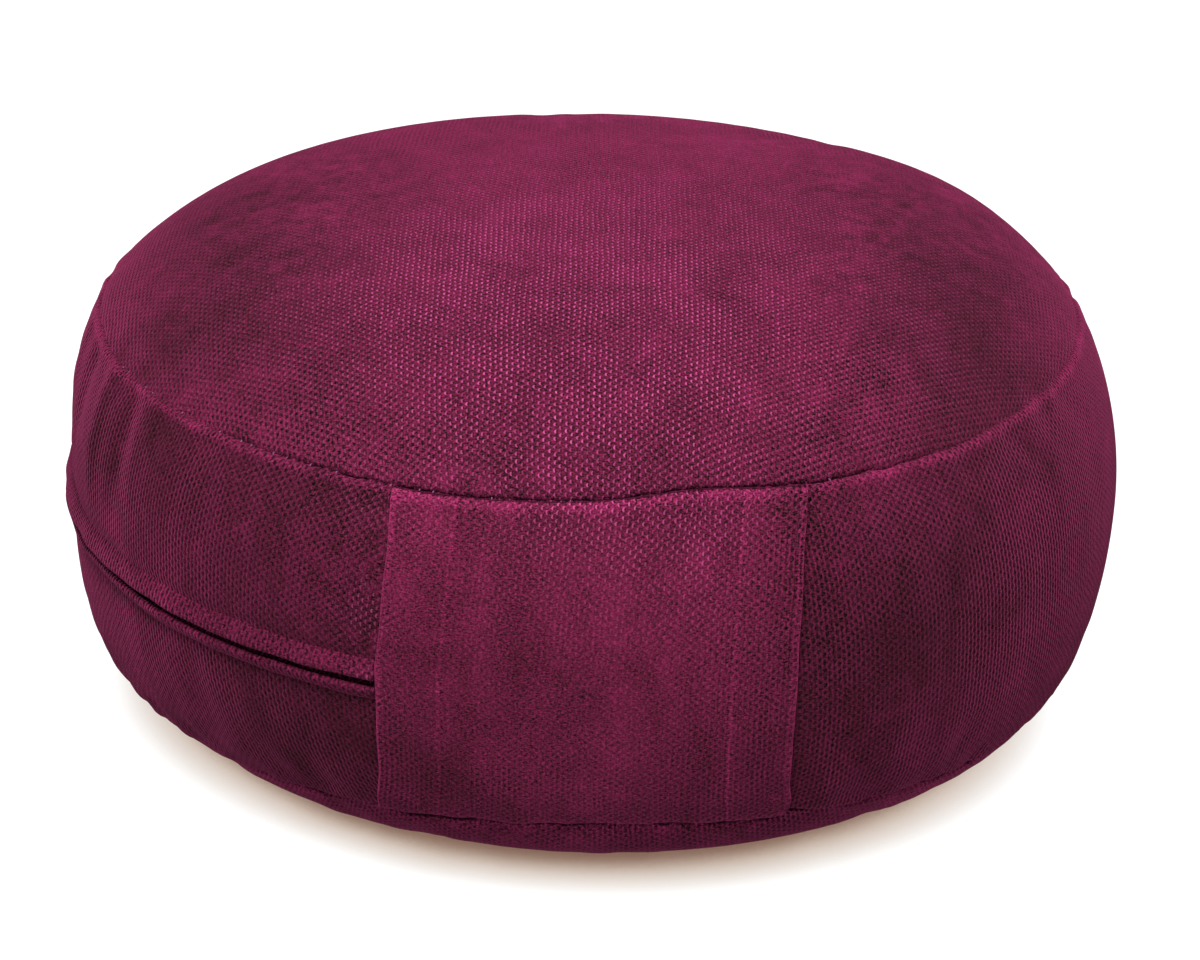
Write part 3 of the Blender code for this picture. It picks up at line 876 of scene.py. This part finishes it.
def make_slot_edge(name, skin, sign, width, cut, flat, swell, seed):
    """A folded edge of the slot: sign is -1 for the flap above it and 1 for the lip below it. flat is
    how far its fold stands off the band, and swell how far it puffs out between fold and seam."""
    x = edge_spaced(SLOT_LENGTH, 0.85 * MM, [0, 0.15, 0.4, 0.8, 1.4])
    y = edge_spaced(width, 0.42 * MM, [0, 0.10, 0.28, 0.55, 0.9])
    out, along = np.meshgrid(y, x, indexing="ij")
    angle = SLOT_START - along / GIRTH_RADIUS
    far = np.clip((SLOT_LENGTH - along) / (14 * MM), 0, 1)
    opened = smooth(np.clip((math.radians(68) + angle) / math.radians(18), 0, 1))
    gap = (0.42 * MM + 0.68 * MM * opened) * far + ripple(angle, seed, 12, 45, 0.09 * MM)
    wide = width + ripple(angle, seed + 1, 10, 50, 0.14 * MM)
    uneven = 1 + ripple(angle, seed + 2, 14, 60, 0.07)
    sewn = out / width
    arc = SLOT_ARC + sign * (gap + sewn * wide)
    thick = (cut * (1 - 0.45 * sewn) * uneven * rounded(out, 1.2) * rounded(width - out, 0.5)
             * rounded(np.minimum(along, SLOT_LENGTH - along), 0.6))
    top = (flat * (1 - sewn) ** 1.2 + swell * np.sin(math.pi * sewn ** 0.7)) * uneven - 0.30 * MM * sewn ** 6
    low = top - cut * (1 - 0.225 * sewn) + 0.25 * MM * far * (1 - sewn)
    # The sheet's faces look outward with its rows running down and its columns running to the right
    way = slice(None, None, sign)
    arc, angle, low, thick = (values[way, ::-1] for values in (arc, angle, low, thick))
    near = np.abs(arc - SLOT_ARC)
    # Painted shade by the gap and along the sewn edge, and a painted highlight along the puffed middle
    crease = bump(near, 0, 1.2, 0.9, 4) + bump(near - width, 0.8, 0.8, 0.10)
    painted_light = bump(near - 0.40 * width, 0.8, 0.3 * width / MM, 0.12)
    return lay_sheet(name, skin, arc, angle, low, thick, cut, band_weave(arc, angle), crease, painted_light)


def stitches(name, middles, ways, outs, length, radius, rise):
    """Short stitches of thread as one mesh: each comes up out of the cloth and goes down into it."""
    ring = TURN * np.arange(STITCH_SIDES) / STITCH_SIDES
    points, faces = [], []
    for middle, way, out in zip(middles, ways, outs):
        cross = np.cross(way, out)
        start = len(points)
        for step in np.linspace(-1, 1, STITCH_RINGS):
            centre = middle + way * step * length / 2 + out * rise * (1 - step * step)
            thin = radius * math.sqrt(max(1 - step ** 6, 0.04))
            for turn in ring:
                points.append(centre + (cross * math.cos(turn) + out * math.sin(turn)) * thin)
        for k in range(STITCH_RINGS - 1):
            for j in range(STITCH_SIDES):
                a, b = start + k * STITCH_SIDES + j, start + k * STITCH_SIDES + (j + 1) % STITCH_SIDES
                faces.append((a, b, b + STITCH_SIDES, a + STITCH_SIDES))
        faces.append(tuple(start + j for j in reversed(range(STITCH_SIDES))))
        faces.append(tuple(start + (STITCH_RINGS - 1) * STITCH_SIDES + j for j in range(STITCH_SIDES)))
    thing = new_object(name, np.array(points), faces)
    thing.data.shade_smooth()
    return thing


def seam_stitches(name, skin, arc, low, length, radius, rise, keep, seed):
    """Stitches across a seam all round the band. low is where they lie, and keep is the share of them
    that shows: left of the panel, and elsewhere."""
    rng = np.random.default_rng(seed)
    count = int(TURN * TOP_SEAM_RADIUS / SEAM_PITCH)
    angle = -math.pi + TURN * (np.arange(count) + 0.5) / count
    angle = angle + rng.normal(0, 0.06, count) * SEAM_PITCH / TOP_SEAM_RADIUS
    share = np.where(np.abs(turned(angle, -44)) < math.radians(28), keep[0], keep[1])
    angle = angle[rng.uniform(0, 1, count) < share]
    arcs = np.full(len(angle), arc) + rng.normal(0, 0.05, len(angle)) * MM
    middle = skin.lay(arcs, angle, low + rng.normal(0, 0.06, len(angle)) * MM)
    out = skin.mixed(skin.normals, arcs, angle)
    step = 0.4 * MM / GIRTH_RADIUS
    beside = skin.lay(arcs, angle + step, low) - skin.lay(arcs, angle - step, low)
    beside /= np.linalg.norm(beside, axis=-1, keepdims=True)
    way = np.cross(beside, out) + beside * rng.normal(0, 0.25, len(angle))[:, None]
    way /= np.linalg.norm(way, axis=-1, keepdims=True)
    return stitches(name, middle, way, out, length, radius, rise)


def panel_stitches(skin):
    """The two lines of topstitch down the panel's hems."""
    middles, ways, outs = [], [], []
    for across in (STITCH_INSET, PANEL_WIDTH - STITCH_INSET):
        for k in range(int((BAND.length - 8 * MM) / TOPSTITCH_PITCH)):
            down = 4 * MM + (k + 0.5) * TOPSTITCH_PITCH
            arc = down + np.array([-0.9, 0, 0.9]) * MM
            angle = panel_place(across, arc) / BAND.at(arc)[0]
            place = skin.lay(arc, angle, CLEAR + PANEL_CLOTH + HEM_RISE - 0.5 * MM)
            way = place[2] - place[0]
            middles.append(place[1])
            ways.append(way / np.linalg.norm(way))
            outs.append(skin.mixed(skin.normals, arc, angle)[1])
    return stitches("panel_topstitch", middles, ways, outs, 2.3 * MM, 0.17 * MM, 0.12 * MM)


class Graph:
    """A short way to write a material's nodes."""

    def __init__(self, name):
        self.material = bpy.data.materials.new(name)
        self.material.use_nodes = True
        self.tree = self.material.node_tree

    def put(self, socket, value):
        if isinstance(value, bpy.types.NodeSocket):
            self.tree.links.new(value, socket)
        else:
            socket.default_value = value

    def node(self, kind, inputs=(), **values):
        made = self.tree.nodes.new("ShaderNode" + kind)
        for key, value in values.items():
            setattr(made, key, value)
        for key, value in dict(inputs).items():
            self.put(made.inputs[key], value)
        return made

    def shade(self, inputs):
        """Set or link the shader's own sockets."""
        for key, value in inputs.items():
            self.put(self.tree.nodes["Principled BSDF"].inputs[key], value)

    def math(self, operation, *values, clamp=False):
        return self.node("Math", enumerate(values), operation=operation, use_clamp=clamp).outputs[0]

    def plus(self, a, b, clamp=False):
        return self.math("ADD", a, b, clamp=clamp)

    def minus(self, a, b, clamp=False):
        return self.math("SUBTRACT", a, b, clamp=clamp)

    def times(self, a, b, clamp=False):
        return self.math("MULTIPLY", a, b, clamp=clamp)

    def vector(self, operation, *values):
        return self.node("VectorMath", enumerate(values), operation=operation)

    def place(self):
        return self.node("TexCoord").outputs["Object"]

    def layer(self, name):
        return self.node("UVMap", uv_map=name).outputs[0]

    def split(self, value):
        return self.node("SeparateXYZ", {0: value}).outputs

    def scaled(self, value, scale):
        return self.node("Mapping", {"Vector": value, "Scale": scale}).outputs[0]

    def grey(self, value):
        return self.node("CombineColor", {0: value, 1: value, 2: value}).outputs[0]

    def noise(self, place, scale, detail=2.0, rough=0.5, warp=0.0):
        """A noise texture's two outputs: one value, and three in a colour."""
        return self.node("TexNoise", {"Vector": place, "Scale": scale, "Detail": detail, "Roughness": rough,
                                      "Distortion": warp}).outputs

    def spread(self, value, low, high, out_low=0.0, out_high=1.0, kind="SMOOTHSTEP"):
        """Map one range onto another with soft ends."""
        return self.node("MapRange", {"Value": value, "From Min": low, "From Max": high, "To Min": out_low,
                                      "To Max": out_high}, interpolation_type=kind).outputs[0]

    def ramp(self, *values):
        """Map one range onto another in a straight line."""
        return self.spread(*values, kind="LINEAR")

    def oval(self, x, y, wide, high, outer, inner):
        """1 inside an oval and 0 outside it, soft between two squared distances."""
        square = [self.math("POWER", self.math("ABSOLUTE", self.math("DIVIDE", way, half)), 2.0)
                  for way, half in ((x, wide), (y, high))]
        return self.spread(self.plus(*square), outer, inner)

    def mix(self, share, a, b, kind="MIX"):
        return self.node("Mix", {0: share, 6: a, 7: b}, data_type="RGBA", blend_type=kind).outputs[2]

    def bumped(self, height, strength, distance):
        return self.node("Bump", {"Height": height, "Strength": strength, "Distance": distance}).outputs[0]


def knit(g, place, yarn):
    """The knit on the weave map, in millimetres: its loops in staggered columns, each loop's shadow, the
    pits between loops, the middles of the columns, the ribs, and three chances for each loop."""
    moved = g.layer("weave")
    for scale, size in ((38.0, 1.2 * MM), (700.0, 0.40 * MM)):
        away = g.vector("SUBTRACT", g.noise(place, scale, 1.0)[1], (0.5, 0.5, 0.5)).outputs[0]
        small = g.node("VectorMath", {0: away, "Scale": size}, operation="SCALE").outputs[0]
        moved = g.vector("ADD", moved, small).outputs[0]
    part = g.split(moved)
    across = g.times(part[0], 1 / LOOP_ACROSS)
    along = g.times(part[1], 2 / LOOP_ALONG)
    row = g.math("FLOOR", g.plus(along, 0.5))
    dv = g.times(g.minus(along, row), LOOP_ALONG / 2 / MM)
    staggered = g.plus(across, g.times(row, 0.5))
    cell = g.math("FLOOR", g.plus(staggered, 0.5))
    du = g.times(g.minus(staggered, cell), LOOP_ACROSS / MM)
    spot = g.node("CombineXYZ", {"X": cell, "Y": row}).outputs[0]
    chance = g.split(g.node("TexWhiteNoise", {"Vector": spot}, noise_dimensions="2D").outputs[1])

    du_own = g.plus(du, g.ramp(chance[1], 0, 1, -0.16, 0.16))
    dv_own = g.plus(dv, g.ramp(chance[2], 0, 1, -0.14, 0.14))
    bend = g.minus(du_own, g.times(g.times(dv_own, dv_own), 0.60))
    loop = g.oval(bend, dv_own, 0.28, 0.80, 1.4, 0.45)
    shadow = g.oval(g.minus(bend, 0.52), g.plus(dv_own, 0.20), 0.28, 0.48, 1.5, 0.4)
    side = g.minus(LOOP_ACROSS / 2 / MM, g.math("ABSOLUTE", du))
    ragged = g.plus(dv, g.ramp(yarn, 0.3, 0.7, -0.18, 0.18))
    pit = g.oval(side, ragged, 0.235, 0.74, 1.4, 0.35)

    column = g.times(across, 2.0)
    middle = g.math("ABSOLUTE", g.minus(column, g.math("FLOOR", g.plus(column, 0.5))))
    left = g.math("FLOOR", column)
    phase = g.times(g.plus(along, left), math.pi)
    way = g.minus(g.minus(column, left), 0.5)
    rib = g.math("ABSOLUTE", g.plus(way, g.times(g.math("COSINE", phase), 0.10)))
    return loop, shadow, pit, g.spread(middle, 0.42, 0.10), g.spread(rib, 0.36, 0.05), chance


def velour(name, lightness, streaks=0.0, ribs=1.0, pits=1.0, rubs=1.0, scuffs=False):
    """Plum velour on a knit: loops in staggered columns, small pits between them and a brushed pile, with
    painted light and shade in its colour: glints on the loops, shade in pits and creases, and the stored
    map's light and shade.

    The shares say how much of each thing shows: streaks down the cloth, ribs, pits and rubbed places."""
    g = Graph(name)
    open_nap_and_glint, light, _ = g.split(g.layer("nap_glints_and_painted_light"))
    crease_shade, brushed, _ = g.split(g.layer("crease_shade_and_fuzz"))
    place = g.place()
    tall = g.scaled(place, (1.0, 1.0, 0.45))
    yarn = g.noise(g.scaled(g.layer("weave"), (1.0, 2.2, 1.0)), 1000.0, 2.0, 0.7)[0]
    clouds = g.noise(tall, 24.0, 3.0, 0.55, 0.6)[0]
    patches = g.noise(tall, 75.0, 2.0, 0.5, 0.4)[0]
    rub = g.noise(place, 84.0, 5.0, 0.72, 0.8)[0]
    fibre = g.noise(place, 1500.0, 3.0, 0.65)[0]
    loop, shadow, pit, middle, rib, chance = knit(g, place, yarn)

    fuzz = g.plus(brushed, g.spread(clouds, 0.30, 0.70, -0.18, 0.22), clamp=True)
    clear = g.minus(1.0, fuzz, clamp=True)
    crisp_and_glint = g.plus(open_nap_and_glint, g.spread(clouds, 0.42, 0.75, 0.0, 0.12), clamp=True)
    crisp_and_glint = g.times(crisp_and_glint, g.spread(patches, 0.30, 0.62, 0.45, 1.0))
    crisp_and_glint = g.times(crisp_and_glint, g.spread(fuzz, 0.2, 1.0, 1.0, 0.25), clamp=True)
    crisp_and_glint = g.plus(g.times(crisp_and_glint, 0.94), 0.06, clamp=True)

    tone = g.plus(g.ramp(clouds, 0.28, 0.72, -0.22, 0.22), g.ramp(patches, 0.28, 0.72, -0.17, 0.17))
    rubbed = g.plus(g.spread(rub, 0.52, 0.70, 0.0, 0.60 * rubs), g.spread(rub, 0.30, 0.48, -0.38 * rubs, 0.0))
    rubbed = g.times(rubbed, g.minus(1.0, g.times(crisp_and_glint, 0.5)))
    tone = g.plus(tone, rubbed)
    if scuffs:
        worn = g.spread(g.noise(place, 190.0, 3.0, 0.6, 0.5)[0], 0.36, 0.70, -0.42, 0.62)
        tone = g.plus(tone, g.times(worn, g.spread(fuzz, 0.25, 0.75, 0.10, 1.0)))
    if streaks:
        drawn = g.noise(g.scaled(place, (1.0, 1.0, 0.14)), 95.0, 2.0, 0.55)[0]
        tone = g.plus(tone, g.ramp(drawn, 0.3, 0.7, -streaks, streaks))
    plain = g.times(clear, g.minus(1.0, g.times(crisp_and_glint, 0.7)))
    plain = g.times(plain, g.spread(patches, 0.32, 0.58, 0.60, 1.0))
    knots = g.times(g.spread(yarn, 0.37, 0.74, -0.58, 1.30), g.spread(fuzz, 0.0, 1.0, 1.0, 0.84))
    hairs = g.ramp(fibre, 0.37, 0.76, -0.44, 1.00)
    # The ribs' lighter crests and darker furrows are partly the knit's pattern and partly painted light and
    # shade
    ribbed = g.times(g.ramp(rib, 0.0, 1.0, -0.66 * ribs, 1.06 * ribs), plain)
    ribbed = g.times(ribbed, g.ramp(chance[2], 0.0, 1.0, 0.60, 1.30))
    ribbed = g.plus(ribbed, g.times(g.ramp(middle, 0.0, 1.0, -0.32, 0.08), crisp_and_glint))
    level = g.plus(g.plus(tone, 1.0), g.plus(knots, g.plus(hairs, ribbed)))
    # Painted light and shade: the stored map paints the pile lighter or darker by place, with the painted
    # highlights and shade of its raised edges and seams
    level = g.times(level, g.ramp(light, 0.0, 1.0, 0.25, 1.75))
    colour = g.mix(1.0, g.mix(1.0, PILE, g.grey(level), "MULTIPLY"), PILE_FLOOR, "ADD")

    # Painted shade in the knit's hollows: pits and each loop's shadow are painted darker, as well as set
    # deeper by the bump
    deep = g.times(pit, g.ramp(chance[0], 0.0, 1.0, 0.18 * pits, 0.84 * pits))
    deep = g.times(deep, g.minus(1.0, g.times(crisp_and_glint, 0.55)))
    deep = g.math("MAXIMUM", deep, g.times(shadow, g.spread(crisp_and_glint, 0.1, 0.8, 0.15, 0.95)))
    deep = g.times(deep, g.spread(clear, 0.0, 0.9, 0.18, 1.0))
    colour = g.mix(deep, colour, PILE_PIT_SHADE)
    # Painted highlights: the loops are painted a bright glint colour where the nap lies open
    glint = g.times(loop, g.times(crisp_and_glint, g.ramp(chance[0], 0.0, 1.0, 0.40, 1.0)))
    colour = g.mix(glint, colour, LOOP_GLINT_COLOUR)
    # Painted shade: the creases, seams and the slot's gap are painted dark, ragged by the yarn
    dark = g.plus(crease_shade, g.ramp(yarn, 0.3, 0.7, 0.38, -0.38))
    colour = g.mix(g.times(g.spread(dark, 0.30, 0.80), 0.93), colour, PILE_CREASE_SHADE)

    height = g.minus(g.times(loop, g.spread(crisp_and_glint, 0.1, 0.8, 0.15, 0.60)), g.times(deep, 0.45))
    height = g.plus(height, g.times(rib, plain))
    height = g.plus(height, g.times(yarn, 0.75))
    height = g.plus(height, g.times(fibre, 0.45))
    g.shade({
        "Base Color": g.mix(1.0, colour, g.grey(lightness), "MULTIPLY"),
        "Roughness": g.spread(loop, 0.0, 1.0, 0.95, 0.62),
        "Normal": g.bumped(height, 0.75, 0.40 * MM),
        "Specular IOR Level": 0.05,
        "Sheen Weight": SHEEN,
        "Sheen Roughness": SHEEN_ROUGHNESS,
        "Sheen Tint": SHEEN_TINT,
    })
    return g.material


def thread(name, colour, light):
    """Twisted sewing thread."""
    g = Graph(name)
    place = g.place()
    ply = g.noise(place, 3500.0, 1.0)[0]
    share = g.plus(g.times(ply, 0.6), g.times(g.noise(place, 260.0, 1.0)[0], 0.5), clamp=True)
    g.shade({"Base Color": g.mix(share, colour, light), "Normal": g.bumped(ply, 0.5, 0.1 * MM),
             "Roughness": 0.7, "Specular IOR Level": 0.15})
    return g.material


def ground(name, height, colour):
    """A wide, matt, level square that isn't part of the object, and its material's nodes."""
    corners = GROUND_HALF * np.array([[-1, -1, 0], [1, -1, 0], [1, 1, 0], [-1, 1, 0]])
    thing = new_object(name, corners, [(0, 1, 2, 3)])
    thing.location.z = height
    g = Graph(name)
    g.shade({"Base Color": colour, "Roughness": 1.0, "Specular IOR Level": 0.0})
    thing.data.materials.append(g.material)
    return thing, g


def make_floor():
    """Pale floor: nearly white and lit by itself, with a painted contact shadow where the cushion stands
    close over it.
    """
    floor, g = ground("studio_floor", -0.5 * MM, FLOOR_BASE)
    near = g.node("AmbientOcclusion", {"Distance": FLOOR_SEES}, samples=24).outputs["AO"]
    # Painted shadow: the floor's own light is darker the closer the cushion stands over it
    under = g.mix(g.ramp(near, 0.105, 0.19), FLOOR_SHADOW_NEAR, FLOOR_SHADOW_MID)
    open_sky = g.math("POWER", g.ramp(near, 0.15, 0.64), 0.75)
    g.shade({"Emission Color": g.mix(open_sky, under, FLOOR_OPEN), "Emission Strength": 1.0})
    floor.visible_diffuse = False
    floor.visible_glossy = False


def make_bounce():
    """What the cushion sees of the floor in its own light: a darker ground than the camera sees."""
    bounce, _ = ground("studio_bounce", -1 * MM, BOUNCE)
    bounce.visible_camera = False
    bounce.visible_shadow = False


def make_world():
    """A white backdrop for the camera, which lights the cushion only a little."""
    world = bpy.data.worlds.new("studio")
    bpy.context.scene.world = world
    world.use_nodes = True
    tree = world.node_tree
    back = tree.nodes["Background"]
    back.inputs[0].default_value = WORLD_COLOUR
    seen = tree.nodes.new("ShaderNodeLightPath").outputs["Is Camera Ray"]
    level = tree.nodes.new("ShaderNodeMath")
    level.operation = "MULTIPLY_ADD"
    tree.links.new(seen, level.inputs[0])
    level.inputs[1].default_value = 1.0 - WORLD_LIGHT
    level.inputs[2].default_value = WORLD_LIGHT
    tree.links.new(level.outputs[0], back.inputs[1])


def make_lamps():
    for name, place, aim, size, power, colour in LAMPS:
        data = bpy.data.lights.new(name, "AREA")
        data.shape = "RECTANGLE"
        data.size, data.size_y = size
        data.energy = power
        data.color = colour
        lamp = bpy.data.objects.new(name, data)
        lamp.location = place
        lamp.rotation_euler = (Vector((0, 0, aim)) - Vector(place)).to_track_quat("-Z", "Y").to_euler()
        bpy.context.scene.collection.objects.link(lamp)


def make_camera():
    data = bpy.data.cameras.new("camera")
    data.sensor_width = 36.0
    data.lens = LENS
    data.shift_x, data.shift_y = SHIFT
    data.clip_start = 0.05
    camera = bpy.data.objects.new("camera", data)
    back = Vector((0.0, -math.cos(ELEVATION), math.sin(ELEVATION)))
    right = Vector((1.0, 0.0, 0.0))
    up = back.cross(right)
    turn = Matrix((right, up, back)).transposed() @ Matrix.Rotation(ROLL, 3, "Z")
    camera.matrix_world = Matrix.Translation(TARGET + back * DISTANCE) @ turn.to_4x4()
    bpy.context.scene.collection.objects.link(camera)
    bpy.context.scene.camera = camera


def dress(thing, material):
    """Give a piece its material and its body."""
    thing.data.materials.clear()
    thing.data.materials.append(material)
    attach(thing, "root")
    return thing


def main():
    make_camera()
    make_world()
    make_floor()
    make_bounce()
    make_lamps()

    solved = make_swell()
    skin = Skin(solved)
    cloth = velour("plum_velour", 0.73, scuffs=True)
    panel_cloth = velour("plum_velour_panel", 0.80, streaks=0.14, ribs=0.78, pits=0.40, rubs=0.48)
    edge_cloth = velour("plum_velour_edges", 0.60, pits=0.80, rubs=0.40)
    plum_thread = thread("plum_thread", (0.07, 0.007, 0.028, 1), (0.15, 0.018, 0.06, 1))
    lilac_thread = thread("lilac_thread", (0.22, 0.055, 0.17, 1), (0.42, 0.14, 0.34, 1))

    body = dress(make_body(solved), cloth)
    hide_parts("cushion")

    panel = dress(make_panel(skin), panel_cloth)
    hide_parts("front_panel")
    topstitch = dress(panel_stitches(skin), plum_thread)

    flap = make_slot_edge("zip_flap_cloth", skin, -1, FLAP_WIDTH, 1.9 * MM, 1.9 * MM, 0.55 * MM, 31)
    dress(flap, edge_cloth)
    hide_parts("zip_flap_upper")
    lip = make_slot_edge("zip_lip_cloth", skin, 1, LIP_WIDTH, 1.8 * MM, 1.3 * MM, 0.9 * MM, 41)
    dress(lip, edge_cloth)
    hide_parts("zip_lip_lower")

    dress(seam_stitches("top_seam_thread", skin, 0.25 * MM, -0.75 * MM, 1.2 * MM, 0.18 * MM, 0.35 * MM,
                        (0.50, 0.07), 51), lilac_thread)
    dress(seam_stitches("bottom_seam_thread", skin, BAND.length, -1.3 * MM, 1.6 * MM, 0.15 * MM, 0.2 * MM,
                        (0.4, 0.4), 52), plum_thread)
    bpy.context.scene.view_settings.view_transform = "Standard"
    bpy.context.scene.cycles.use_denoising = True


main()
